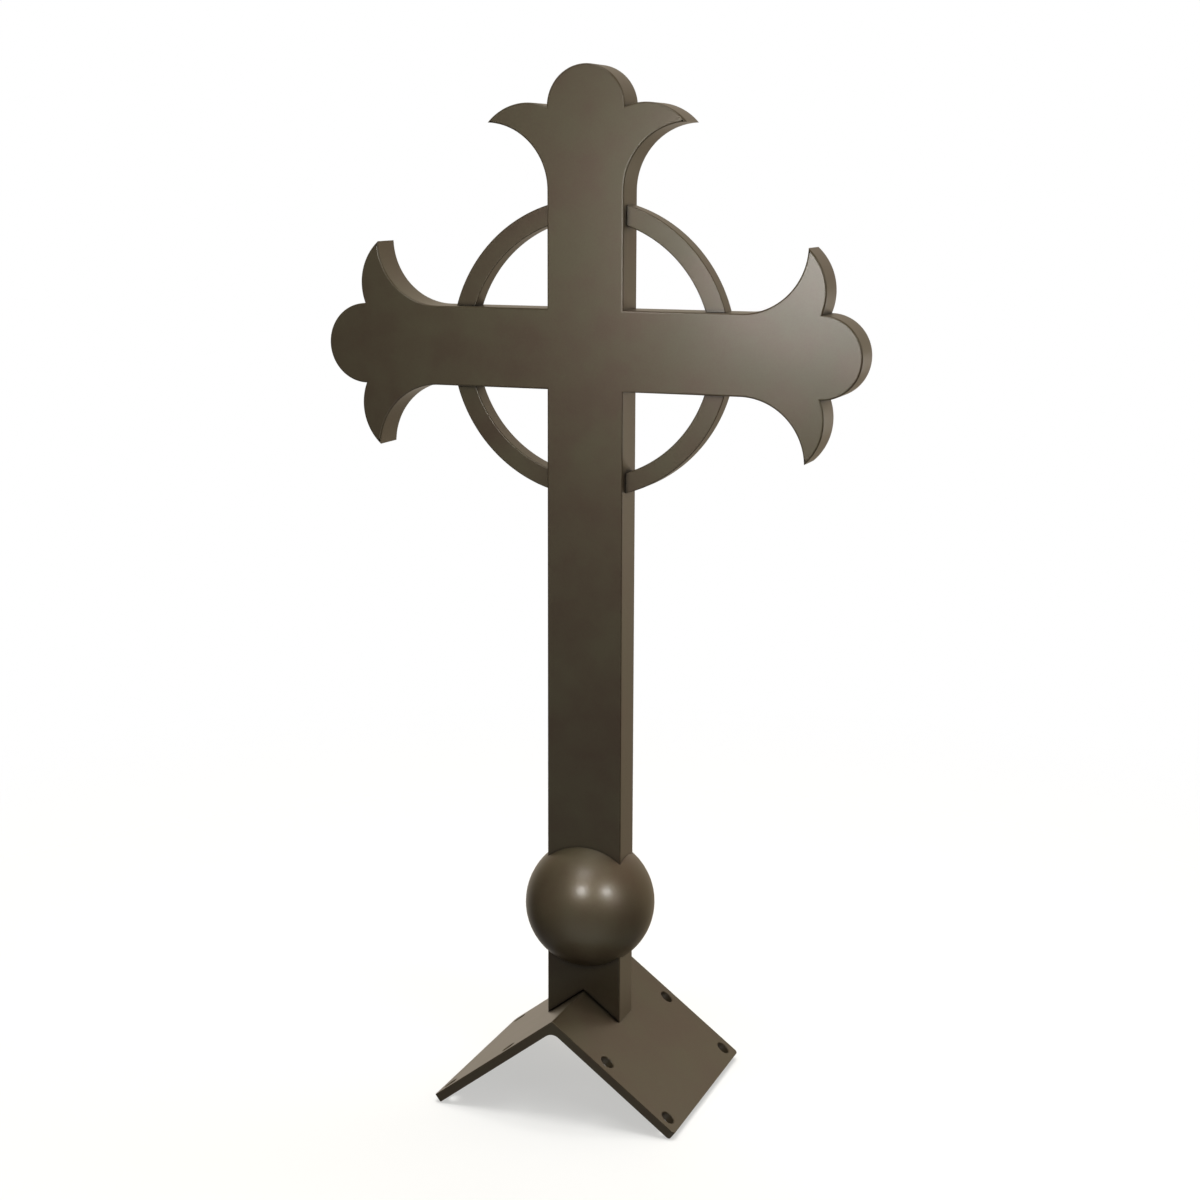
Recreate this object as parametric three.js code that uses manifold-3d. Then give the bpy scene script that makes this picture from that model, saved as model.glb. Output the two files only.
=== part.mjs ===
// A roof cross: a flat Latin cross with fleury ends, a ring in four quarters between its arms,
// a ball round the lower stem, and a bent saddle plate that is bolted over a roof ridge.
// Millimetres. +X runs along the arms, +Y to the back, +Z up. The origin lies between the
// saddle's lower edges, on the level that they stand on, below the stem's axis.

import * as THREE from 'three';
import { mergeVertices } from 'three/addons/utils/BufferGeometryUtils.js';
import Module from 'manifold-3d';

// Gap kept between pieces that touch
const GAP = 0.3;

// Box section of the stem and the arms
const SECTION_WIDTH = 101.6;
const SECTION_DEPTH = 50.8;

// Distances from the crossing, which is the middle of the arms
const TOP_REACH = 298.5;
const ARM_REACH = 304.5;
const BALL_DROP = 731;
const RIDGE_DROP = 848;

// Fleury end: a half-round lobe with a pointed barb on each side
const LOBE_RADIUS = 51.5;
const BARB_SPREAD = 131;
const BARB_SETBACK = 19;
const BARB_CROWN_RADIUS = 71;
const BARB_HOLLOW_RADIUS = 83;

// Ring of square bar
const RING_OUTER_RADIUS = 187;
const RING_INNER_RADIUS = 162;
const RING_DEPTH = 27;

// Ball
const BALL_RADIUS = 85.5;

// Saddle plate and its bolt holes, which are placed down the slope from the ridge
const SADDLE_PITCH = THREE.MathUtils.degToRad(37.25);
const SADDLE_LEG = 209.3;
const SADDLE_LENGTH = 279.4;
const SADDLE_THICKNESS = 12;
const SADDLE_CORNER_RADIUS = 5;
const SADDLE_BEND_RADIUS = 14;
const BOLT_HOLE_RADIUS = 9;
const BOLT_ROWS = [86.5, 190.3];
const BOLT_OFFSET = 120;

// Fineness of the round stretches
const LOBE_STEPS = 28;
const BARB_STEPS = 12;
const RING_STEPS = 22;
const BALL_SIDES = 56;
const BALL_ROWS = 28;
const CORNER_STEPS = 5;
const BEND_STEPS = 8;
const HOLE_STEPS = 20;

// Heights above the origin
const SADDLE_RISE = SADDLE_LEG * Math.sin(SADDLE_PITCH) + SADDLE_THICKNESS * Math.cos(SADDLE_PITCH);
const RIDGE_HEIGHT = SADDLE_RISE;
const CROSSING_HEIGHT = RIDGE_HEIGHT + RIDGE_DROP;
const BALL_HEIGHT = CROSSING_HEIGHT - BALL_DROP;
const HALF_WIDTH = SECTION_WIDTH / 2;

const wasm = await Module();
wasm.setup();

// Satin dark bronze paint, one material for each mesh
function bronzePaint() {
  return new THREE.MeshStandardMaterial({ color: 0x5a5145, roughness: 0.45, metalness: 0.6 });
}

// A closed geometry as a solid that can be joined and cut
function toSolid(geometry) {
  const bare = geometry.clone();
  bare.deleteAttribute('normal');
  bare.deleteAttribute('uv');
  const welded = mergeVertices(bare);
  return new wasm.Manifold(new wasm.Mesh({
    numProp: 3,
    vertProperties: new Float32Array(welded.attributes.position.array),
    triVerts: new Uint32Array(welded.index.array),
  }));
}

// The faces of a solid as a geometry
function toGeometry(solid) {
  const mesh = solid.getMesh();
  const geometry = new THREE.BufferGeometry();
  geometry.setAttribute('position', new THREE.BufferAttribute(new Float32Array(mesh.vertProperties), 3));
  geometry.setIndex(new THREE.BufferAttribute(new Uint32Array(mesh.triVerts), 1));
  geometry.computeVertexNormals();
  return geometry;
}

// Points along an arc from one angle to another, both ends included
function arcPoints(centre, radius, startAngle, endAngle, steps) {
  return Array.from({ length: steps + 1 }, (_, i) => {
    const angle = startAngle + (endAngle - startAngle) * i / steps;
    return new THREE.Vector2(centre.x + radius * Math.cos(angle), centre.y + radius * Math.sin(angle));
  });
}

// Centre of the arc of a given radius from one point to another, to the left of the way between them
function arcCentre(from, to, radius) {
  const chord = to.clone().sub(from);
  const left = new THREE.Vector2(-chord.y, chord.x).normalize();
  const height = Math.sqrt(radius ** 2 - chord.lengthSq() / 4);
  return from.clone().add(to).multiplyScalar(0.5).addScaledVector(left, height);
}

// An outline drawn in the XZ plane, given depth along Y about a middle plane at Y = 0
function standingPlate(outline, depth) {
  const geometry = new THREE.ExtrudeGeometry(outline, { depth, bevelEnabled: false });
  return geometry.translate(0, 0, -depth / 2).rotateX(Math.PI / 2);
}

// One barb in the end's own plane, from the arm's side to the notch beside the lobe.
// X runs across the arm and Y outwards from the lobe's centre.
function barbPoints() {
  const tip = new THREE.Vector2(BARB_SPREAD, -BARB_SETBACK);
  const notch = new THREE.Vector2(LOBE_RADIUS, 0);
  const across = HALF_WIDTH + BARB_HOLLOW_RADIUS - BARB_SPREAD;
  const along = Math.sqrt(BARB_HOLLOW_RADIUS ** 2 - across ** 2);
  const hollowCentre = new THREE.Vector2(HALF_WIDTH + BARB_HOLLOW_RADIUS, tip.y - along);
  const hollowEnd = Math.atan2(along, -across);
  const crownCentre = arcCentre(tip, notch, BARB_CROWN_RADIUS);
  const crownStart = tip.clone().sub(crownCentre).angle();
  const crownEnd = notch.clone().sub(crownCentre).angle();
  const hollow = arcPoints(hollowCentre, BARB_HOLLOW_RADIUS, Math.PI, hollowEnd, BARB_STEPS);
  const crown = arcPoints(crownCentre, BARB_CROWN_RADIUS, crownStart, crownEnd, BARB_STEPS);
  return [...hollow, ...crown.slice(1)];
}

// A whole fleury end, turned counter-clockwise from upright and set at its lobe's centre
function fleuryEnd(lobeCentre, turn) {
  const barb = barbPoints();
  const lobe = arcPoints(new THREE.Vector2(0, 0), LOBE_RADIUS, 0, Math.PI, LOBE_STEPS).slice(1, -1);
  const farBarb = barb.map((point) => new THREE.Vector2(-point.x, point.y)).reverse();
  const middle = new THREE.Vector2(0, 0);
  return [...barb, ...lobe, ...farBarb].map((point) => point.rotateAround(middle, turn).add(lobeCentre));
}

// The cross in one piece: stem, arms, three fleury ends and the foot cut to the saddle's pitch
function makeCross() {
  const corner = (xSign, zSign) => {
    return new THREE.Vector2(xSign * HALF_WIDTH, CROSSING_HEIGHT + zSign * HALF_WIDTH);
  };
  const footApex = RIDGE_HEIGHT + GAP / Math.cos(SADDLE_PITCH);
  const footCorner = footApex - HALF_WIDTH * Math.tan(SADDLE_PITCH);
  const outline = new THREE.Shape([
    new THREE.Vector2(HALF_WIDTH, footCorner),
    corner(1, -1),
    ...fleuryEnd(new THREE.Vector2(ARM_REACH, CROSSING_HEIGHT), -Math.PI / 2),
    corner(1, 1),
    ...fleuryEnd(new THREE.Vector2(0, CROSSING_HEIGHT + TOP_REACH), 0),
    corner(-1, 1),
    ...fleuryEnd(new THREE.Vector2(-ARM_REACH, CROSSING_HEIGHT), Math.PI / 2),
    corner(-1, -1),
    new THREE.Vector2(-HALF_WIDTH, footCorner),
    new THREE.Vector2(0, footApex),
  ]);
  return standingPlate(outline, SECTION_DEPTH);
}

// A quarter of the ring, between the sides of the stem and the arm, about the crossing
function makeRingQuarter() {
  const side = HALF_WIDTH + GAP;
  const middle = new THREE.Vector2(0, 0);
  const quarterArc = (radius) => {
    const start = Math.asin(side / radius);
    return arcPoints(middle, radius, start, Math.PI / 2 - start, RING_STEPS);
  };
  const outer = quarterArc(RING_OUTER_RADIUS);
  const inner = quarterArc(RING_INNER_RADIUS).reverse();
  return standingPlate(new THREE.Shape([...outer, ...inner]), RING_DEPTH);
}

// The ball, with the opening that the stem goes through
function makeBall() {
  const sphere = new THREE.SphereGeometry(BALL_RADIUS, BALL_SIDES, BALL_ROWS).rotateX(Math.PI / 2);
  const opening = new THREE.BoxGeometry(SECTION_WIDTH + 2 * GAP, SECTION_DEPTH + 2 * GAP, 3 * BALL_RADIUS);
  return toGeometry(toSolid(sphere).subtract(toSolid(opening)));
}

// One leg of the saddle as a flat plate: X down the slope from the ridge, Y along the ridge.
// Its lower corners are rounded, and four bolt holes go through it.
function flatLeg() {
  const halfLength = SADDLE_LENGTH / 2;
  const cornerX = SADDLE_LEG - SADDLE_CORNER_RADIUS;
  const cornerY = halfLength - SADDLE_CORNER_RADIUS;
  const quarter = Math.PI / 2;
  const nearCentre = new THREE.Vector2(cornerX, -cornerY);
  const farCentre = new THREE.Vector2(cornerX, cornerY);
  const nearCorner = arcPoints(nearCentre, SADDLE_CORNER_RADIUS, -quarter, 0, CORNER_STEPS);
  const farCorner = arcPoints(farCentre, SADDLE_CORNER_RADIUS, 0, quarter, CORNER_STEPS);
  const outline = new THREE.Shape([
    new THREE.Vector2(0, -halfLength),
    ...nearCorner,
    ...farCorner,
    new THREE.Vector2(0, halfLength),
  ]);
  for (const row of BOLT_ROWS) {
    for (const offset of [-BOLT_OFFSET, BOLT_OFFSET]) {
      const centre = new THREE.Vector2(row, offset);
      const rim = arcPoints(centre, BOLT_HOLE_RADIUS, 0, 2 * Math.PI, HOLE_STEPS).slice(0, -1);
      outline.holes.push(new THREE.Path(rim.reverse()));
    }
  }
  return new THREE.ExtrudeGeometry(outline, { depth: SADDLE_THICKNESS, bevelEnabled: false })
    .translate(0, 0, -SADDLE_THICKNESS);
}

// The hollow of the bend filled out to a round, on the underside of the ridge
function bendFillet() {
  const apex = new THREE.Vector2(0, -SADDLE_THICKNESS / Math.cos(SADDLE_PITCH));
  const roundCentre = new THREE.Vector2(0, apex.y - SADDLE_BEND_RADIUS / Math.cos(SADDLE_PITCH));
  const start = Math.PI / 2 - SADDLE_PITCH;
  const round = arcPoints(roundCentre, SADDLE_BEND_RADIUS, start, Math.PI - start, BEND_STEPS);
  const heart = new THREE.Vector2(0, apex.y / 2);
  return standingPlate(new THREE.Shape([heart, ...round.reverse()].reverse()), SADDLE_LENGTH);
}

// The saddle in one piece: two sloping legs that meet along the ridge, with a rounded bend below
function makeSaddle() {
  const rightLeg = toSolid(flatLeg().rotateY(SADDLE_PITCH));
  const leftLeg = toSolid(flatLeg().rotateY(SADDLE_PITCH).rotateZ(Math.PI));
  return toGeometry(rightLeg.add(leftLeg).add(toSolid(bendFillet())));
}

// A named mesh at a height on the stem's axis
function piece(name, geometry, height) {
  const mesh = new THREE.Mesh(geometry, bronzePaint());
  mesh.name = name;
  mesh.position.z = height;
  return mesh;
}

const roofCross = new THREE.Group();
roofCross.name = 'roof_cross';
roofCross.add(piece('cross', makeCross(), 0));

const QUARTERS = ['upper_right', 'lower_right', 'lower_left', 'upper_left'];
QUARTERS.forEach((place, index) => {
  const quarter = piece(`ring_quarter_${place}`, makeRingQuarter(), CROSSING_HEIGHT);
  quarter.rotation.y = index * Math.PI / 2;
  roofCross.add(quarter);
});

roofCross.add(piece('ball', makeBall(), BALL_HEIGHT));
roofCross.add(piece('ridge_saddle', makeSaddle(), RIDGE_HEIGHT));

export default roofCross;
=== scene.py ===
"""Looks of the roof cross: refined pieces over the fixed frame, their paint, and a studio stage."""

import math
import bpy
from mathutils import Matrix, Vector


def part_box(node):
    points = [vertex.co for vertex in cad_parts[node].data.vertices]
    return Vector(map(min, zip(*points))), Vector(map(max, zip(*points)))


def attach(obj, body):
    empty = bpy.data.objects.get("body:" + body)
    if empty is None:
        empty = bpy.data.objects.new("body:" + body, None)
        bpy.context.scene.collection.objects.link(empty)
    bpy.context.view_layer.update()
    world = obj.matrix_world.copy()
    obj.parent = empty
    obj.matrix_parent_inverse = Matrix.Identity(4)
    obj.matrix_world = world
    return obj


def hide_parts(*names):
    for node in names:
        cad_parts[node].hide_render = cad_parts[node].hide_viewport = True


bl_info = {
    "name": "Roof cross",
    "version": (1, 0, 0),
    "blender": (4, 5, 0),
    "location": "View3D > Sidebar > Roof cross",
    "description": "Builds a painted roof cross with a ring, a ball and a ridge saddle",
    "category": "Add Mesh",
}

import bmesh
import bpy
import numpy as np
from mathutils import Matrix, Vector

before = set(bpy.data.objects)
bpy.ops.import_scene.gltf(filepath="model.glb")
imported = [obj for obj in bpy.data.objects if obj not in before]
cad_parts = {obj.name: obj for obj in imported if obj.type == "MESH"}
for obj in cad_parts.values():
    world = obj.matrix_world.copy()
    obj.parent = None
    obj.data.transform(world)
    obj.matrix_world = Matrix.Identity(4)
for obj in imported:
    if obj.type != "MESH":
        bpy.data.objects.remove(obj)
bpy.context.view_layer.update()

MM = 0.001
BODY = "root"

# Quarters of the ring, and the quarter turns that bring each one clockwise from the upper right
QUARTERS = {"upper_right": 0, "lower_right": 1, "lower_left": 2, "upper_left": 3}

# Places read from the frame
CROSS_LOW, CROSS_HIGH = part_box("cross")
RING_LOW, RING_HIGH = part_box("ring_quarter_upper_right")
LOWER_RING_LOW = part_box("ring_quarter_lower_right")[0]
BALL_LOW, BALL_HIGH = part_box("ball")
SADDLE_LOW, SADDLE_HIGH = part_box("ridge_saddle")
CROSSING_HEIGHT = (RING_HIGH.z + LOWER_RING_LOW.z) / 2
BALL_HEIGHT = (BALL_LOW.z + BALL_HIGH.z) / 2
RIDGE_HEIGHT = SADDLE_HIGH.z


# Helpers for sizes and colours


def linear(hex_colour):
    """Linear RGBA of an sRGB hex colour, by the standard curve on each channel."""
    channels = np.array([int(hex_colour[i:i + 2], 16) for i in (1, 3, 5)]) / 255
    low = channels / 12.92
    high = ((channels + 0.055) / 1.055) ** 2.4
    return (*np.where(channels <= 0.04045, low, high).tolist(), 1.0)


def length(name, description, metres):
    """A length property."""
    return bpy.props.FloatProperty(
        name=name, description=description, default=metres,
        min=0.0, precision=5, unit="LENGTH", subtype="DISTANCE")


def angle(name, description, degrees):
    """An angle property."""
    return bpy.props.FloatProperty(
        name=name, description=description, default=math.radians(degrees),
        precision=4, unit="ROTATION", subtype="ANGLE")


def share(name, description, value):
    """A property from none to all."""
    return bpy.props.FloatProperty(
        name=name, description=description, default=value,
        min=0.0, max=1.0, subtype="FACTOR")


def colour(name, description, hex_colour):
    """A colour property."""
    return bpy.props.FloatVectorProperty(
        name=name, description=description, default=linear(hex_colour),
        size=4, min=0.0, max=1.0, subtype="COLOR")


# Sizes and looks that a user would change


class CrossSizes(bpy.types.PropertyGroup):
    """Sizes of the cross, whose depth and heights come from the frame."""

    width: length("Section width", "Width of the stem and the arms", 101.6 * MM)
    top_reach: length("Top reach", "Crossing to the centre of the top lobe", 298.5 * MM)
    arm_reach: length("Arm reach", "Crossing to the centre of a side lobe", 304.5 * MM)
    lobe_radius: length("Lobe radius", "Radius of the half-round lobes", CROSS_HIGH.x - 304.5 * MM)
    barb_spread: length("Barb spread", "Barb tip to the arm's centre line", 131 * MM)
    barb_setback: length("Barb setback", "Barb tip to the line across the lobe's centre", 19 * MM)
    crown_radius: length("Barb crown radius", "Radius of a barb's bulging edge", 71 * MM)
    hollow_radius: length("Barb hollow radius", "Radius of a barb's hollow edge", 83 * MM)
    edge_radius: length("Edge radius", "Rounding of the front and back edges", 2.4 * MM)


class RingSizes(bpy.types.PropertyGroup):
    """Sizes of the ring, whose ends and depth come from the frame."""

    outer_radius: length("Outer radius", "Outer radius of the ring", math.hypot(RING_HIGH.x, RING_LOW.x))
    bar_width: length("Bar width", "Width of the bar, seen from the front", 25 * MM)
    edge_radius: length("Edge radius", "Rounding of the bar's edges", 1.6 * MM)


class BallSizes(bpy.types.PropertyGroup):
    """Sizes of the ball."""

    radius: length("Radius", "Radius of the ball", (BALL_HIGH.x - BALL_LOW.x) / 2)
    stem_gap: length("Stem gap", "Gap between the ball and the stem", 0.3 * MM)


class SaddleSizes(bpy.types.PropertyGroup):
    """Sizes of the saddle plate, whose length and width come from the frame."""

    pitch: angle("Pitch", "Slope of the legs", 37.25)
    thickness: length("Thickness", "Thickness of the plate", 12 * MM)
    ridge_radius: length("Ridge radius", "Rounding along the top of the bend", 3 * MM)
    bend_radius: length("Bend radius", "Rounding along the underside of the bend", 14 * MM)
    corner_radius: length("Corner radius", "Rounding of the legs' lower corners", 5 * MM)
    edge_radius: length("Edge radius", "Rounding of the plate's edges", 1.0 * MM)
    hole_radius: length("Hole radius", "Radius of a bolt hole", 9 * MM)
    hole_edge: length("Hole edge", "Rounding of a bolt hole's edges", 2 * MM)
    upper_row: length("Upper row", "Ridge to the upper bolt holes, down the slope", 86.5 * MM)
    lower_row: length("Lower row", "Ridge to the lower bolt holes, down the slope", 190.3 * MM)
    hole_offset: length("Hole offset", "Stem's axis to the bolt holes, along the ridge", 120 * MM)


class PaintLook(bpy.types.PropertyGroup):
    """Satin bronze paint."""

    olive_tone: colour("Olive tone", "Paint where its flakes lie flat", "#726a52")
    brown_tone: colour("Brown tone", "Paint where its flakes stand up", "#6b5a48")
    # Painted shade: the dark tone that joints, inner corners and bolt holes are darkened towards, and how far
    # it reaches
    painted_shade_tone: colour("Joint tone", "Painted shade in the joints and inner corners", "#1c1712")
    metallic: share("Metallic", "How much of the light the metal flakes return", 0.6)
    smooth: share("Smoothest", "Lowest roughness of the flakes", 0.48)
    rough: share("Roughest", "Highest roughness of the flakes", 0.56)
    lacquer: share("Lacquer", "Weight of the clear satin film over the flakes", 1.0)
    lacquer_roughness: share("Lacquer roughness", "Roughness of the clear satin film", 0.28)
    cloud_size: length("Cloud size", "Width of the soft patches in the paint", 70 * MM)
    peel_size: length("Peel size", "Width of the bumps that sprayed paint dries to", 3.5 * MM)
    peel_height: length("Peel height", "Height of those bumps", 0.03 * MM)
    flake_size: length("Flake size", "Width of a flake, drawn coarse enough to show", 1.6 * MM)
    painted_shade_reach: length("Joint reach", "How far the shade spreads from a joint", 9 * MM)


class StageLook(bpy.types.PropertyGroup):
    """Camera, floor and light."""

    camera_x: length("Camera X", "Camera to the right of the stem", 0.9593)
    camera_front: length("Camera front", "Camera in front of the cross", 2.5780)
    camera_height: length("Camera height", "Camera above the crossing", 0.2202)
    camera_turn: angle("Camera turn", "Turn of the camera to the left", 20.17)
    camera_drop: angle("Camera drop", "Tilt of the camera downwards", 11.18)
    camera_roll: angle("Camera roll", "Roll of the camera", 0.21)
    camera_lens: bpy.props.FloatProperty(
        name="Lens", description="Focal length on a 36 mm sensor", default=65.07, unit="CAMERA")
    floor_colour: colour("Floor colour", "Pale floor", "#f7f7f5")
    floor_glow: share("Floor glow", "How much the floor's shadows are lightened", 0.55)
    floor_size: length("Floor size", "Width of the floor", 8.0)
    backdrop_colour: colour("Backdrop colour", "White backdrop behind the cross", "#ffffff")
    warm_colour: colour("Warm colour", "Light from behind and from the left", "#ffe9c8")
    plain_colour: colour("Plain colour", "Light from the other directions", "#ffffff")
    fade_start: length("Fade start", "Where the floor starts to fade into the backdrop", 0.5)
    fade_end: length("Fade end", "Where the floor has faded into the backdrop", 2.2)


# Meshes from arrays

SHARP_ANGLE = math.radians(40)
WELD_REACH = 0.02 * MM
SHORTEST_STEP = 0.0001 * MM
EDGE_STEPS = 5


def grid_faces(rows, columns, close_rows=False, close_columns=False):
    """Quads between neighbours on a grid of vertices counted row by row, closed on itself where asked."""
    row = np.arange(rows if close_rows else rows - 1)[:, None]
    column = np.arange(columns if close_columns else columns - 1)[None, :]
    next_row = (row + 1) % rows
    next_column = (column + 1) % columns
    corners = [
        row * columns + column,
        next_row * columns + column,
        next_row * columns + next_column,
        row * columns + next_column,
    ]
    return np.stack(corners, axis=-1).reshape(-1, 4)


def arc(centre, radius, start, end, steps):
    """Points on a circle from one angle to another: centre plus radius times cosine and sine."""
    turn = np.linspace(start, end, steps + 1)
    return np.column_stack([centre[0] + radius * np.cos(turn), centre[1] + radius * np.sin(turn)])


def without_doubles(outline):
    """A closed outline without the points that repeat the one before them."""
    step = np.linalg.norm(outline - np.roll(outline, 1, axis=0), axis=1)
    return outline[step > SHORTEST_STEP]


def mitre(outline):
    """How far each point of an outline moves out when every side moves out by one: the sum of the normals
    of the two sides that meet there, over one plus their product."""
    side = np.roll(outline, -1, axis=0) - outline
    normal = np.column_stack([side[:, 1], -side[:, 0]])
    normal = normal / np.linalg.norm(normal, axis=1, keepdims=True)
    before = np.roll(normal, 1, axis=0)
    return (before + normal) / (1 + (before * normal).sum(axis=1, keepdims=True))


def weld(mesh):
    """Makes one closed shell of a mesh of patches: points that fall together are joined, and all faces are
    turned outwards."""
    shell = bmesh.new()
    shell.from_mesh(mesh)
    bmesh.ops.remove_doubles(shell, verts=shell.verts, dist=WELD_REACH)
    bmesh.ops.recalc_face_normals(shell, faces=shell.faces)
    open_edges = sum(not edge.is_manifold for edge in shell.edges)
    if open_edges:
        raise RuntimeError(f"{mesh.name} has {open_edges} open edges")
    shell.to_mesh(mesh)
    shell.free()


def add_piece(name, vertices, faces, material, replaced, patched=False):
    """Makes a mesh object, shades it smooth except at sharp edges, paints it and ties it to the frame."""
    mesh = bpy.data.meshes.new(name)
    mesh.from_pydata(vertices.reshape(-1, 3).tolist(), [], faces)
    if mesh.validate():
        raise RuntimeError(f"{name} has faces that are not valid")
    if patched:
        weld(mesh)
    mesh.shade_smooth()
    mesh.set_sharp_from_angle(angle=SHARP_ANGLE)
    mesh.materials.append(material)
    piece = bpy.data.objects.new(name, mesh)
    bpy.context.scene.collection.objects.link(piece)
    flat = piece.modifiers.new("Flat faces stay flat", "WEIGHTED_NORMAL")
    flat.keep_sharp = True
    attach(piece, BODY)
    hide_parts(*replaced)


# The cross

LOBE_STEPS = 64
BARB_STEPS = 32


def fleury_end(sizes):
    """Outline of an end in its own plane, across and outwards from the lobe's centre: a hollow arc tangent to
    the arm's side, a crown arc from the barb's tip to the notch, the half-round lobe, and the far barb
    mirrored."""
    half_width = sizes.width / 2
    tip = np.array([sizes.barb_spread, -sizes.barb_setback])
    notch = np.array([sizes.lobe_radius, 0.0])
    across = half_width + sizes.hollow_radius - tip[0]
    along = math.sqrt(sizes.hollow_radius ** 2 - across ** 2)
    hollow_centre = (half_width + sizes.hollow_radius, tip[1] - along)
    hollow = arc(hollow_centre, sizes.hollow_radius, math.pi, math.atan2(along, -across), BARB_STEPS)
    chord = notch - tip
    height = math.sqrt(sizes.crown_radius ** 2 - chord @ chord / 4)
    crown_centre = (tip + notch) / 2 + height * np.array([-chord[1], chord[0]]) / np.linalg.norm(chord)
    start, end = (math.atan2(*(point - crown_centre)[::-1]) for point in (tip, notch))
    crown = arc(crown_centre, sizes.crown_radius, start, end, BARB_STEPS)
    lobe = arc((0, 0), sizes.lobe_radius, 0, math.pi, LOBE_STEPS)
    barb = np.vstack([hollow, crown])
    return np.vstack([barb, lobe, barb[::-1] * (-1, 1)])


def cross_outline(sizes, pitch):
    """Closed outline of the cross in the plane of X and Z, counter-clockwise seen from the front."""
    half_width = sizes.width / 2
    end = fleury_end(sizes)
    across, outwards = end.T
    top = np.column_stack([across, CROSSING_HEIGHT + sizes.top_reach + outwards])
    right = np.column_stack([sizes.arm_reach + outwards, CROSSING_HEIGHT - across])
    left = np.column_stack([-sizes.arm_reach - outwards, CROSSING_HEIGHT + across])
    below_arms = CROSSING_HEIGHT - half_width
    above_arms = CROSSING_HEIGHT + half_width
    foot = CROSS_LOW.z
    foot_apex = foot + half_width * math.tan(pitch)
    return without_doubles(np.vstack([
        [(half_width, foot), (half_width, below_arms)],
        right,
        [(half_width, above_arms)],
        top,
        [(-half_width, above_arms)],
        left,
        [(-half_width, below_arms), (-half_width, foot), (0.0, foot_apex)],
    ]))


def edge_profile(half_depth, radius):
    """Inset and depth of a rounded edge from the front face to the back face: a quarter circle, the plain
    side and a quarter circle again."""
    turn = np.linspace(0, math.pi / 2, EDGE_STEPS + 1)
    inset = radius * (1 - np.sin(turn))
    depth = -half_depth + radius * (1 - np.cos(turn))
    return np.concatenate([inset, inset[::-1]]), np.concatenate([depth, -depth[::-1]])


def cross_surface(sizes, pitch):
    """The edge profile carried round the outline, each profile point moved in along the mitres, and a flat
    face at the front and at the back."""
    outline = cross_outline(sizes, pitch)
    inset, depth = edge_profile((CROSS_HIGH.y - CROSS_LOW.y) / 2, sizes.edge_radius)
    place = outline - inset[:, None, None] * mitre(outline)
    level = np.broadcast_to(depth[:, None], place.shape[:2])
    vertices = np.stack([place[..., 0], level, place[..., 1]], axis=-1)
    rows, columns = level.shape
    sides = grid_faces(rows, columns, close_columns=True).tolist()
    front = list(range(columns))
    back = [(rows - 1) * columns + i for i in reversed(front)]
    return vertices, sides + [front, back]


class ROOFCROSS_OT_cross(bpy.types.Operator):
    """Make the cross with its fleury ends"""

    bl_idname = "roofcross.cross"
    bl_label = "Cross"

    def execute(self, context):
        sizes = context.scene.roof_cross
        vertices, faces = cross_surface(sizes.cross, sizes.saddle.pitch)
        add_piece("cross_body", vertices, faces, bronze_paint(sizes.paint), ["cross"])
        return {"FINISHED"}


# The ring

RING_STEPS = 72


def bar_section(inner, outer, half_depth, radius):
    """Closed section of the bar, radius against depth: four straight sides with quarter circles between."""
    quarter = math.pi / 2
    corners = [
        (outer - radius, half_depth - radius, quarter),
        (outer - radius, radius - half_depth, 0.0),
        (inner + radius, radius - half_depth, -quarter),
        (inner + radius, half_depth - radius, -2 * quarter),
    ]
    return np.vstack([arc((x, y), radius, start, start - quarter, EDGE_STEPS) for x, y, start in corners])


def ring_surface(sizes, quarter_turns):
    """The section carried along a quarter of the ring. Each of its points runs from the side of the arm to
    the side of the stem, so its angle starts at the arcsine of that side's distance over the point's own
    radius."""
    side = RING_LOW.x
    half_depth = (RING_HIGH.y - RING_LOW.y) / 2
    inner = sizes.outer_radius - sizes.bar_width
    radius, depth = bar_section(inner, sizes.outer_radius, half_depth, sizes.edge_radius).T
    start = np.arcsin(side / radius)
    way = np.linspace(0, 1, RING_STEPS + 1)[:, None]
    turn = start + way * (math.pi / 2 - 2 * start) - quarter_turns * math.pi / 2
    level = np.broadcast_to(depth, turn.shape)
    vertices = np.stack([radius * np.cos(turn), level, CROSSING_HEIGHT + radius * np.sin(turn)], axis=-1)
    rows, columns = turn.shape
    sides = grid_faces(rows, columns, close_columns=True).tolist()
    near = list(range(columns))
    far = [(rows - 1) * columns + i for i in reversed(near)]
    return vertices, sides + [near, far]


class ROOFCROSS_OT_ring(bpy.types.Operator):
    """Make the four quarters of the ring"""

    bl_idname = "roofcross.ring"
    bl_label = "Ring quarters"

    def execute(self, context):
        sizes = context.scene.roof_cross
        paint = bronze_paint(sizes.paint)
        for place, turns in QUARTERS.items():
            vertices, faces = ring_surface(sizes.ring, turns)
            add_piece(f"ring_bar_{place}", vertices, faces, paint, [f"ring_quarter_{place}"])
        return {"FINISHED"}


# The ball

BALL_PIECE = "ball_shell"
BALL_SIDE_STEPS = 36
BALL_RISE_STEPS = 72


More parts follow.
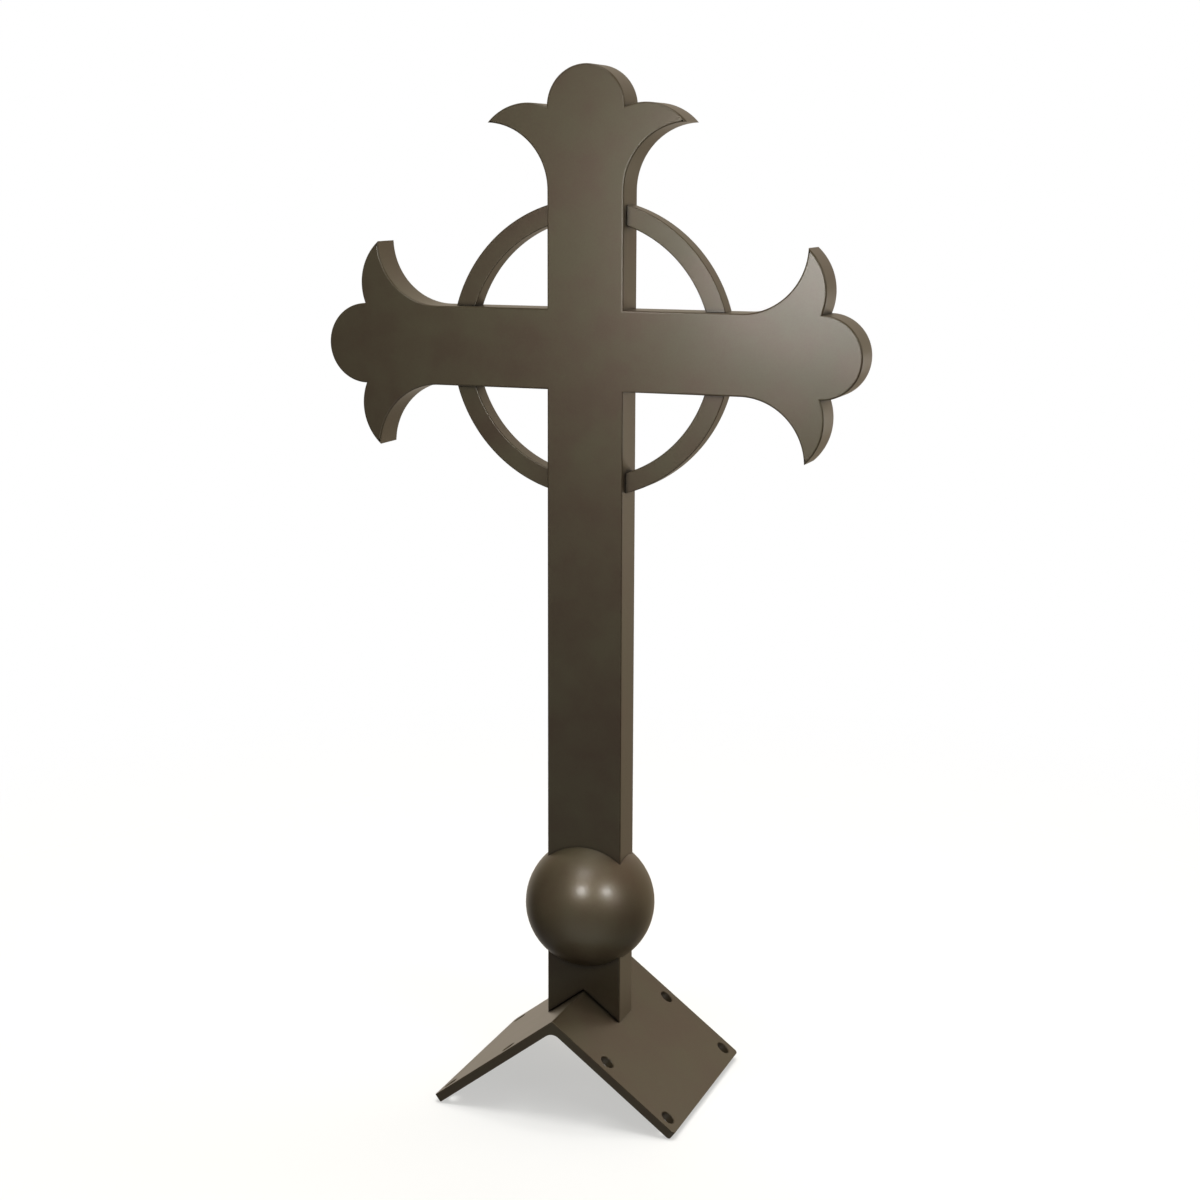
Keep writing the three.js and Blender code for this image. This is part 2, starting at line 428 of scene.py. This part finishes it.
def ball_surface(sizes, stem_width, stem_depth):
    """A sphere with a rectangular way through it. At each azimuth the angle from the pole runs from the way's
    edge below to its edge above, whose distance from the axis is the nearer of the two pairs of walls."""
    half_x = stem_width / 2 + sizes.stem_gap
    half_y = stem_depth / 2 + sizes.stem_gap
    corner = math.atan2(half_y, half_x)
    turns = [corner, math.pi - corner, math.pi + corner, 2 * math.pi - corner, 2 * math.pi + corner]
    sides = zip(turns, turns[1:])
    azimuth = np.concatenate([np.linspace(a, b, BALL_SIDE_STEPS, endpoint=False) for a, b in sides])
    with np.errstate(divide="ignore"):
        reach = np.minimum(half_x / np.abs(np.cos(azimuth)), half_y / np.abs(np.sin(azimuth)))
    edge = np.arcsin(reach / sizes.radius)[:, None]
    polar = math.pi - edge + np.linspace(0, 1, BALL_RISE_STEPS + 1) * (2 * edge - math.pi)
    azimuth = azimuth[:, None]
    vertices = sizes.radius * np.stack(
        [np.sin(polar) * np.cos(azimuth), np.sin(polar) * np.sin(azimuth), np.cos(polar)], axis=-1)
    vertices[..., 2] += BALL_HEIGHT
    return vertices, grid_faces(*polar.shape, close_rows=True, close_columns=True).tolist()


class ROOFCROSS_OT_ball(bpy.types.Operator):
    """Make the ball on the stem"""

    bl_idname = "roofcross.ball"
    bl_label = "Ball"

    def execute(self, context):
        sizes = context.scene.roof_cross
        vertices, faces = ball_surface(sizes.ball, sizes.cross.width, CROSS_HIGH.y - CROSS_LOW.y)
        add_piece(BALL_PIECE, vertices, faces, bronze_paint(sizes.paint), ["ball"])
        return {"FINISHED"}


# The saddle

BEND_STEPS = 7
HOLE_SIDE_STEPS = 10
CORNER_STEPS = 5
HOLE_MARGIN = 5 * MM

# Decimal places of a metre to which grid lines are rounded, so that two on one spot become one
LINE_PLACES = 7


class HalfSaddle:
    """The right half of the saddle as patches: the top and the underside with blocks left out round the bolt
    holes, the holes, and the rounded edge. Places are worked out down the slope, along the ridge and in
    depth."""

    def __init__(self, sizes):
        self.sizes = sizes
        self.down = np.array([math.cos(sizes.pitch), 0.0, -math.sin(sizes.pitch)])
        self.up = np.array([math.sin(sizes.pitch), 0.0, math.cos(sizes.pitch)])
        self.half_length = (SADDLE_HIGH.y - SADDLE_LOW.y) / 2
        self.leg = SADDLE_HIGH.x / math.cos(sizes.pitch)
        self.block = sizes.hole_radius + HOLE_MARGIN
        self.corner_slope = self.leg - sizes.corner_radius
        self.corner_length = self.half_length - sizes.corner_radius
        self.corner_reach = sizes.corner_radius - sizes.edge_radius
        self.slope_lines, self.length_lines = self.grid_lines()

    def grid_lines(self):
        """Lines of the leg's grid, close together across the blocks round the holes and at the corners."""
        sizes = self.sizes
        steps = np.linspace(-self.block, self.block, HOLE_SIDE_STEPS + 1)
        bend_end = (sizes.thickness + sizes.bend_radius) * math.tan(sizes.pitch)
        corner = np.linspace(0, self.corner_reach, CORNER_STEPS + 1)
        slope = np.concatenate([
            [bend_end], sizes.upper_row + steps, sizes.lower_row + steps, self.corner_slope + corner])
        half = np.concatenate([sizes.hole_offset + steps, self.corner_length + corner])
        lines = np.concatenate([-half[::-1], half])
        return np.unique(slope.round(LINE_PLACES)), np.unique(lines.round(LINE_PLACES))

    def place(self, slope, along, depth):
        """A point from its distance down the slope, its distance along the ridge and its depth."""
        spot = slope[..., None] * self.down - depth[..., None] * self.up
        spot[..., 1] = along
        spot[..., 2] += RIDGE_HEIGHT
        return spot

    def round_corners(self, slope, along):
        """Square corner blocks turned into quarter discs: each square ring round the block's inner corner
        becomes an arc."""
        a = np.clip(slope - self.corner_slope, 0, None)
        b = np.clip(np.abs(along) - self.corner_length, 0, None)
        reach = np.maximum(a, b)
        with np.errstate(divide="ignore", invalid="ignore"):
            turn = np.where(a >= b, math.pi / 4 * b / a, math.pi / 2 - math.pi / 4 * a / b)
        inside = (a > 0) & (b > 0)
        rounded_slope = np.where(inside, self.corner_slope + reach * np.cos(turn), slope)
        rounded_along = np.where(inside, np.sign(along) * (self.corner_length + reach * np.sin(turn)), along)
        return rounded_slope, rounded_along

    def bend(self, radius, drop, steps):
        """Half of a rounded bend from the middle to the leg: a circle tangent to both slopes. Gives its
        points and their upward normals."""
        pitch = self.sizes.pitch
        turn = np.linspace(math.pi / 2, math.pi / 2 - pitch, steps + 1)
        normal = np.column_stack([np.cos(turn), np.zeros_like(turn), np.sin(turn)])
        centre = np.array([0.0, 0.0, RIDGE_HEIGHT - (drop + radius) / math.cos(pitch)])
        return centre + radius * normal, normal

    def face(self, depth):
        """The top (depth 0) or the underside as a grid of points and their upward normals, from the ridge
        down. The underside's bend ends on the leg's first line, so its last row is left out."""
        sizes = self.sizes
        slope, along = np.broadcast_arrays(self.slope_lines[:, None], self.length_lines[None, :])
        slope, along = self.round_corners(slope, along)
        leg = self.place(slope, along, np.full_like(slope, depth))
        if depth == 0:
            bend, normal = self.bend(sizes.ridge_radius, 0.0, BEND_STEPS - 1)
        else:
            bend, normal = self.bend(sizes.bend_radius, depth, BEND_STEPS)
            bend, normal = bend[:-1], normal[:-1]
        bend = np.repeat(bend[:, None, :], len(self.length_lines), axis=1)
        bend[..., 1] = self.length_lines
        normals = np.concatenate([normal, np.tile(self.up, (len(self.slope_lines), 1))])
        return np.concatenate([bend, leg]), normals

    def face_quads(self, rows):
        """Quads of the top or the underside, without the blocks round the holes. The bend's rows count as far
        from every hole."""
        columns = len(self.length_lines)
        quads = grid_faces(rows, columns)
        bend_rows = rows - len(self.slope_lines)
        slope_mid = np.full(rows - 1, -np.inf)
        slope_mid[bend_rows:] = (self.slope_lines[1:] + self.slope_lines[:-1]) / 2
        along_mid = (self.length_lines[1:] + self.length_lines[:-1]) / 2
        rows_near = np.minimum(
            np.abs(slope_mid - self.sizes.upper_row), np.abs(slope_mid - self.sizes.lower_row)) < self.block
        columns_near = np.abs(np.abs(along_mid) - self.sizes.hole_offset) < self.block
        kept = ~(rows_near[:, None] & columns_near[None, :])
        return quads[kept.ravel()]

    def hole(self, row, offset):
        """A bolt hole from the square block on the top through the plate to the block on the underside:
        square, rim circle, rounded rim, wall, and the same again upside down."""
        sizes = self.sizes
        side = np.linspace(-self.block, self.block, HOLE_SIDE_STEPS + 1)[:-1]
        edge = np.full_like(side, self.block)
        square = np.concatenate([
            np.column_stack([side, -edge]), np.column_stack([edge, side]),
            np.column_stack([-side, edge]), np.column_stack([-edge, -side])])
        circle = square / np.linalg.norm(square, axis=1, keepdims=True)
        turn = np.linspace(0, math.pi / 2, EDGE_STEPS + 1)
        rim_radius = sizes.hole_radius + sizes.hole_edge * (1 - np.sin(turn))
        rim_depth = sizes.hole_edge * (1 - np.cos(turn))
        radius = np.concatenate([rim_radius, rim_radius[::-1]])[:, None, None]
        depth = np.concatenate([rim_depth, sizes.thickness - rim_depth[::-1]])
        depth = np.concatenate([[0.0], depth, [sizes.thickness]])
        flat = np.concatenate([square[None], radius * circle, square[None]])
        depth = np.broadcast_to(depth[:, None], flat.shape[:2])
        spots = self.place(row + flat[..., 0], offset + flat[..., 1], depth)
        return spots, grid_faces(*depth.shape, close_columns=True)

    def rim(self, top, top_normal, under, under_normal):
        """The rounded edge between the top and the underside, round the leg's three free sides: a quarter
        circle out and down from the top's rim, the plain edge, and a quarter circle back to the underside's
        rim."""
        last = top.shape[0] - 1
        final = top.shape[1] - 1
        rows = np.concatenate([np.arange(last), np.full(final + 1, last), np.arange(last)[::-1]])
        columns = np.concatenate([np.zeros(last, int), np.arange(final + 1), np.full(last, final)])
        top_rim = top[rows, columns]
        under_rim = under[rows, columns]
        slope = (top_rim - [0.0, 0.0, RIDGE_HEIGHT]) @ self.down
        along = top_rim[:, 1]
        out_slope = np.clip(slope - self.corner_slope, 0, None)
        out_along = np.sign(along) * np.clip(np.abs(along) - self.corner_length, 0, None)
        way = out_slope[:, None] * self.down + out_along[:, None] * np.array([0.0, 1.0, 0.0])
        way = way / np.linalg.norm(way, axis=1, keepdims=True)
        turn = np.linspace(0, math.pi / 2, EDGE_STEPS + 1)[:, None, None]
        out = self.sizes.edge_radius * np.sin(turn) * way
        sink = self.sizes.edge_radius * (1 - np.cos(turn))
        upper = top_rim + out - sink * top_normal[rows]
        lower = under_rim + out + sink * under_normal[rows]
        spots = np.concatenate([upper, lower[::-1]])
        return spots, grid_faces(*spots.shape[:2])

    def patches(self):
        """All patches of the half as pairs of points and quads."""
        top, top_normal = self.face(0.0)
        under, under_normal = self.face(self.sizes.thickness)
        quads = self.face_quads(top.shape[0])
        yield top, quads
        yield under, quads
        yield self.rim(top, top_normal, under, under_normal)
        for row in (self.sizes.upper_row, self.sizes.lower_row):
            for offset in (-self.sizes.hole_offset, self.sizes.hole_offset):
                yield self.hole(row, offset)


def saddle_surface(sizes):
    """Both halves of the saddle: the right half's patches and their mirror images in the plane X = 0."""
    spots, quads, count = [], [], 0
    for patch, faces in HalfSaddle(sizes).patches():
        patch = patch.reshape(-1, 3)
        for mirror in ((1, 1, 1), (-1, 1, 1)):
            spots.append(patch * mirror)
            quads.append(faces + count)
            count += len(patch)
    return np.concatenate(spots), np.concatenate(quads).tolist()


class ROOFCROSS_OT_saddle(bpy.types.Operator):
    """Make the bent saddle plate with its bolt holes"""

    bl_idname = "roofcross.saddle"
    bl_label = "Ridge saddle"

    def execute(self, context):
        sizes = context.scene.roof_cross
        vertices, faces = saddle_surface(sizes.saddle)
        add_piece("saddle_plate", vertices, faces, bronze_paint(sizes.paint), ["ridge_saddle"], patched=True)
        return {"FINISHED"}


# Paint

# Noise values at which a patch is all brown and all olive, and the flakes' share in the tone
PATCH_EDGES = (0.35, 0.65)
FLAKE_SHARE = 0.25

# Openness at which the painted shade in a joint or inner corner is darkest and at which it ends, and the
# number of rays that measure it
PAINTED_SHADE_EDGES = (0.4, 0.85)
PAINTED_SHADE_RAYS = 6


def add_node(tree, kind, inputs=None, **settings):
    """Adds a node, sets its properties, and gives each input a value or a link. Inputs go by name, or by
    number where several have one name: in a mix, 0 is the share, 2 and 3 are plain values and 6 and 7 are
    colours."""
    node = tree.nodes.new(kind)
    for name, value in settings.items():
        setattr(node, name, value)
    for name, value in (inputs or {}).items():
        if isinstance(value, bpy.types.NodeSocket):
            tree.links.new(value, node.inputs[name])
        else:
            node.inputs[name].default_value = value
    return node


def bronze_paint(look):
    """Sprayed metallic bronze paint on aluminium, under a clear satin film. Its flakes give a soft, slightly
    metallic shine that spreads highlights wide, and the film a narrower one over it. The paint lies in soft
    patches of olive and brown and dries to an orange peel. Its colour holds painted shade: it is darkened in
    the joints, inner corners and bolt holes, where ambient occlusion finds little open air. Real flakes and
    peel are too fine to show, so both are drawn coarser."""
    name = "satin_bronze_paint"
    if name in bpy.data.materials:
        return bpy.data.materials[name]
    material = bpy.data.materials.new(name)
    material.use_nodes = True
    tree = material.node_tree
    tree.nodes.clear()
    spot = add_node(tree, "ShaderNodeTexCoord").outputs["Object"]
    clouds = add_node(tree, "ShaderNodeTexNoise", {
        "Vector": spot, "Scale": 1 / look.cloud_size, "Detail": 4.0, "Roughness": 0.55})
    patches = add_node(tree, "ShaderNodeMapRange", {
        "Value": clouds.outputs["Fac"], "From Min": PATCH_EDGES[0], "From Max": PATCH_EDGES[1]})
    flakes = add_node(tree, "ShaderNodeTexVoronoi", {"Vector": spot, "Scale": 1 / look.flake_size})
    grain = add_node(tree, "ShaderNodeMix", {
        0: FLAKE_SHARE, 2: patches.outputs["Result"], 3: flakes.outputs["Color"]}, data_type="FLOAT")
    tone = add_node(tree, "ShaderNodeMix", {
        0: grain.outputs[0], 6: look.brown_tone[:], 7: look.olive_tone[:]}, data_type="RGBA")
    # Painted shade: the tone is darkened towards the painted shade tone where ambient occlusion finds joints,
    # inner corners and bolt holes closed in
    open_air = add_node(tree, "ShaderNodeAmbientOcclusion", {
        "Distance": look.painted_shade_reach}, samples=PAINTED_SHADE_RAYS)
    joints = add_node(tree, "ShaderNodeMapRange", {
        "Value": open_air.outputs["AO"], "From Min": PAINTED_SHADE_EDGES[0], "From Max": PAINTED_SHADE_EDGES[1]})
    tone_with_painted_shade = add_node(tree, "ShaderNodeMix", {
        0: joints.outputs["Result"], 6: look.painted_shade_tone[:], 7: tone.outputs[2]}, data_type="RGBA")
    satin = add_node(tree, "ShaderNodeMapRange", {
        "Value": patches.outputs["Result"], "To Min": look.smooth, "To Max": look.rough})
    peel = add_node(tree, "ShaderNodeTexNoise", {"Vector": spot, "Scale": 1 / look.peel_size, "Detail": 1.0})
    bumps = add_node(tree, "ShaderNodeBump", {
        "Height": peel.outputs["Fac"], "Strength": 1.0, "Distance": look.peel_height})
    shader = add_node(tree, "ShaderNodeBsdfPrincipled", {
        "Base Color": tone_with_painted_shade.outputs[2], "Roughness": satin.outputs["Result"],
        "Metallic": look.metallic, "Normal": bumps.outputs["Normal"],
        "Coat Weight": look.lacquer, "Coat Roughness": look.lacquer_roughness,
        "Coat Normal": bumps.outputs["Normal"]})
    add_node(tree, "ShaderNodeOutputMaterial", {"Surface": shader.outputs["BSDF"]})
    return material


# The stage

SENSOR_WIDTH = 36.0


def add_floor(look):
    """A plain pale floor that fades into the backdrop. It glows a little, so that shadows on it stay light,
    and the cross doesn't mirror it."""
    half = look.floor_size / 2
    corners = [(-half, -half, 0), (half, -half, 0), (half, half, 0), (-half, half, 0)]
    mesh = bpy.data.meshes.new("floor")
    mesh.from_pydata(corners, [], [(0, 1, 2, 3)])
    material = bpy.data.materials.new("pale_floor")
    material.use_nodes = True
    tree = material.node_tree
    tree.nodes.clear()
    spot = add_node(tree, "ShaderNodeTexCoord").outputs["Object"]
    away = add_node(tree, "ShaderNodeVectorMath", {0: spot}, operation="LENGTH")
    fade = add_node(tree, "ShaderNodeMapRange", {
        "Value": away.outputs["Value"], "From Min": look.fade_start, "From Max": look.fade_end},
        interpolation_type="SMOOTHSTEP")
    matt = add_node(tree, "ShaderNodeBsdfDiffuse", {"Color": look.floor_colour})
    glow = add_node(tree, "ShaderNodeEmission", {"Color": look.floor_colour, "Strength": 1.0})
    pale = add_node(tree, "ShaderNodeMixShader", {0: look.floor_glow, 1: matt.outputs[0], 2: glow.outputs[0]})
    clear = add_node(tree, "ShaderNodeBsdfTransparent")
    blend = add_node(tree, "ShaderNodeMixShader", {
        0: fade.outputs["Result"], 1: pale.outputs["Shader"], 2: clear.outputs["BSDF"]})
    add_node(tree, "ShaderNodeOutputMaterial", {"Surface": blend.outputs["Shader"]})
    mesh.materials.append(material)
    floor = bpy.data.objects.new("floor", mesh)
    bpy.context.scene.collection.objects.link(floor)
    floor.visible_glossy = False
    floor.visible_diffuse = False
    floor.visible_shadow = False
    return floor


def add_camera(look):
    """The camera at the photograph's place: turned left, tilted down and rolled about its own axis."""
    camera = bpy.data.objects.new("camera", bpy.data.cameras.new("camera"))
    camera.data.lens = look.camera_lens
    camera.data.sensor_width = SENSOR_WIDTH
    turn = Matrix.Rotation(look.camera_turn, 4, "Z")
    drop = Matrix.Rotation(math.pi / 2 - look.camera_drop, 4, "X")
    roll = Matrix.Rotation(look.camera_roll, 4, "Z")
    height = CROSSING_HEIGHT + look.camera_height
    camera.matrix_world = Matrix.Translation((look.camera_x, -look.camera_front, height)) @ turn @ drop @ roll
    bpy.context.scene.collection.objects.link(camera)
    bpy.context.scene.camera = camera


# Soft panels by name: place, the point each faces, width in metres, watts, and the angle in degrees that its
# light spreads over. The front softbox gives the arms their shine, which fades to the left and downwards.
LIGHTS = {
    "front_softbox": ((0.052, -1.25, 1.13), (0.25, 0.0, 1.30), 0.42, 2.5, 120),
    "right_softbox": ((2.62, -1.90, 2.25), (0.0, 0.0, 0.25), 1.20, 0.6, 40),
    "right_panel": ((3.40, -1.60, 1.90), (0.0, 0.0, 0.65), 2.0, 9.0, 180),
    "overhead_panel": ((-0.1, -1.90, 4.20), (0.0, 0.0, 0.65), 1.6, 20.0, 180),
}

# Panels behind, for the sides and the back. They leave out the ball, whose flanks stay dark.
REAR_LIGHTS = {
    "rear_softbox": ((1.05, 1.03, 0.74), (0.0, 0.0, 0.85), 0.42, 0.6, 120),
    "rear_right_panel": ((2.30, 1.20, 2.40), (0.0, 0.0, 0.80), 2.0, 3.0, 180),
    "rear_left_panel": ((-2.60, 1.30, 1.60), (0.0, 0.0, 0.80), 2.0, 5.0, 180),
}

# The floor's own panel, which makes it pale without lighting the cross
FLOOR_LIGHTS = {"floor_panel": ((0.0, 0.3, 4.50), (0.0, 0.3, 0.0), 3.0, 215.0, 180)}

# The ball's own panels: two that make its pair of soft highlights, and one behind
BALL_LIGHTS = {
    "ball_left_light": ((0.07, -1.62, 1.42), (0.0, 0.0, 0.25), 0.36, 8.0, 180),
    "ball_right_light": ((2.62, -1.90, 2.22), (0.0, 0.0, 0.25), 0.65, 27.0, 180),
    "ball_rear_light": ((0.0, 1.50, 1.60), (0.0, 0.0, 0.25), 0.50, 6.0, 180),
}

# Strength of the dim light that comes from everywhere
DIM_LIGHT = 0.015

# Glows of the surroundings by name: direction, cosines of the angles from it at which the glow starts and is
# full, strength, and which colour of the stage it has
GLOWS = {
    "behind": ((0.0, 0.85, 0.53), 0.1, 0.6, 0.315, "warm_colour"),
    "behind_high": ((0.0, 0.85, 0.53), 0.75, 1.0, 0.10, "plain_colour"),
    "behind_left": ((-0.65, 0.74, -0.20), 0.8, 1.0, 0.175, "plain_colour"),
    "left": ((-0.85, -0.53, 0.07), 0.8, 1.0, 0.12, "warm_colour"),
    "above": ((0.0, -0.10, 0.99), 0.8, 1.0, 0.35, "plain_colour"),
    "below": ((0.0, 0.0, -1.0), 0.45, 0.75, 0.08, "plain_colour"),
    "below_front": ((0.24, -0.64, -0.73), 0.8, 1.0, 0.24, "plain_colour"),
    "low_front": ((-0.24, -0.86, -0.45), 0.9, 1.0, 0.17, "plain_colour"),
}


def add_light(name, place, target, width, watts, spread):
    """A soft square panel that faces a point."""
    lamp = bpy.data.lights.new(name, "AREA")
    lamp.shape = "SQUARE"
    lamp.size = width
    lamp.energy = watts
    lamp.spread = math.radians(spread)
    light = bpy.data.objects.new(name, lamp)
    aim = (Vector(target) - Vector(place)).to_track_quat("-Z", "Y")
    light.matrix_world = Matrix.Translation(place) @ aim.to_matrix().to_4x4()
    light.visible_camera = False
    bpy.context.scene.collection.objects.link(light)
    return light


def add_lights(lights, linked=None, state="INCLUDE"):
    """Adds soft panels. Where an object is given, they light only that object, or with the state EXCLUDE all
    but that object."""
    receivers = None
    if linked:
        receivers = bpy.data.collections.new(f"{state.lower()}_{linked.name}")
        receivers.objects.link(linked)
        receivers.collection_objects[0].light_linking.link_state = state
    for name, setting in lights.items():
        add_light(name, *setting).light_linking.receiver_collection = receivers


def add_surroundings(look):
    """A white backdrop to the eye. The cross mirrors dim surroundings instead: a little light from everywhere
    and the sum of the glows, each of which rises with the cosine between a ray and its direction."""
    world = bpy.data.worlds.new("studio")
    world.use_nodes = True
    bpy.context.scene.world = world
    tree = world.node_tree
    tree.nodes.clear()
    way = add_node(tree, "ShaderNodeTexCoord").outputs["Generated"]
    mirrored = add_node(tree, "ShaderNodeBackground", {"Color": look.warm_colour, "Strength": DIM_LIGHT})
    for direction, start, full, strength, colour_name in GLOWS.values():
        cosine = add_node(tree, "ShaderNodeVectorMath", {0: way, 1: direction}, operation="DOT_PRODUCT")
        rise = add_node(tree, "ShaderNodeMapRange", {
            "Value": cosine.outputs["Value"], "From Min": start, "From Max": full, "To Max": strength})
        glow = add_node(tree, "ShaderNodeBackground", {
            "Color": getattr(look, colour_name), "Strength": rise.outputs["Result"]})
        mirrored = add_node(tree, "ShaderNodeAddShader", {0: mirrored.outputs[0], 1: glow.outputs[0]})
    backdrop = add_node(tree, "ShaderNodeBackground", {"Color": look.backdrop_colour})
    seen = add_node(tree, "ShaderNodeLightPath").outputs["Is Camera Ray"]
    view = add_node(tree, "ShaderNodeMixShader", {0: seen, 1: mirrored.outputs[0], 2: backdrop.outputs[0]})
    add_node(tree, "ShaderNodeOutputWorld", {"Surface": view.outputs[0]})


class ROOFCROSS_OT_stage(bpy.types.Operator):
    """Set the camera, the floor and the light"""

    bl_idname = "roofcross.stage"
    bl_label = "Stage"

    def execute(self, context):
        look = context.scene.roof_cross.stage
        ball = bpy.data.objects.get(BALL_PIECE)
        if ball is None:
            raise RuntimeError("The ball has lights of its own, so it is made before the stage")
        add_camera(look)
        floor = add_floor(look)
        add_surroundings(look)
        add_lights(LIGHTS)
        add_lights(REAR_LIGHTS, ball, "EXCLUDE")
        add_lights(FLOOR_LIGHTS, floor)
        add_lights(BALL_LIGHTS, ball)
        context.scene.view_settings.view_transform = "Standard"
        return {"FINISHED"}


# Add-on


class RoofCross(bpy.types.PropertyGroup):
    """All sizes and looks of the roof cross."""

    cross: bpy.props.PointerProperty(type=CrossSizes, name="Cross", description="Sizes of the cross")
    ring: bpy.props.PointerProperty(type=RingSizes, name="Ring", description="Sizes of the ring")
    ball: bpy.props.PointerProperty(type=BallSizes, name="Ball", description="Sizes of the ball")
    saddle: bpy.props.PointerProperty(type=SaddleSizes, name="Saddle", description="Sizes of the saddle")
    paint: bpy.props.PointerProperty(type=PaintLook, name="Paint", description="Look of the paint")
    stage: bpy.props.PointerProperty(type=StageLook, name="Stage", description="Look of the stage")


OPERATORS = (
    ROOFCROSS_OT_cross,
    ROOFCROSS_OT_ring,
    ROOFCROSS_OT_ball,
    ROOFCROSS_OT_saddle,
    ROOFCROSS_OT_stage,
)


class ROOFCROSS_PT_panel(bpy.types.Panel):
    """The pieces of the roof cross"""

    bl_label = "Roof cross"
    bl_idname = "ROOFCROSS_PT_panel"
    bl_space_type = "VIEW_3D"
    bl_region_type = "UI"
    bl_category = "Roof cross"

    def draw(self, context):
        for operator in OPERATORS:
            self.layout.operator(operator.bl_idname)


GROUPS = (CrossSizes, RingSizes, BallSizes, SaddleSizes, PaintLook, StageLook, RoofCross)
CLASSES = (*GROUPS, *OPERATORS, ROOFCROSS_PT_panel)


def register():
    for item in CLASSES:
        bpy.utils.register_class(item)
    bpy.types.Scene.roof_cross = bpy.props.PointerProperty(type=RoofCross)


def unregister():
    del bpy.types.Scene.roof_cross
    for item in reversed(CLASSES):
        bpy.utils.unregister_class(item)


def main():
    register()
    bpy.ops.roofcross.cross()
    bpy.ops.roofcross.ring()
    bpy.ops.roofcross.ball()
    bpy.ops.roofcross.saddle()
    bpy.ops.roofcross.stage()


if __name__ == "__main__":
    main()
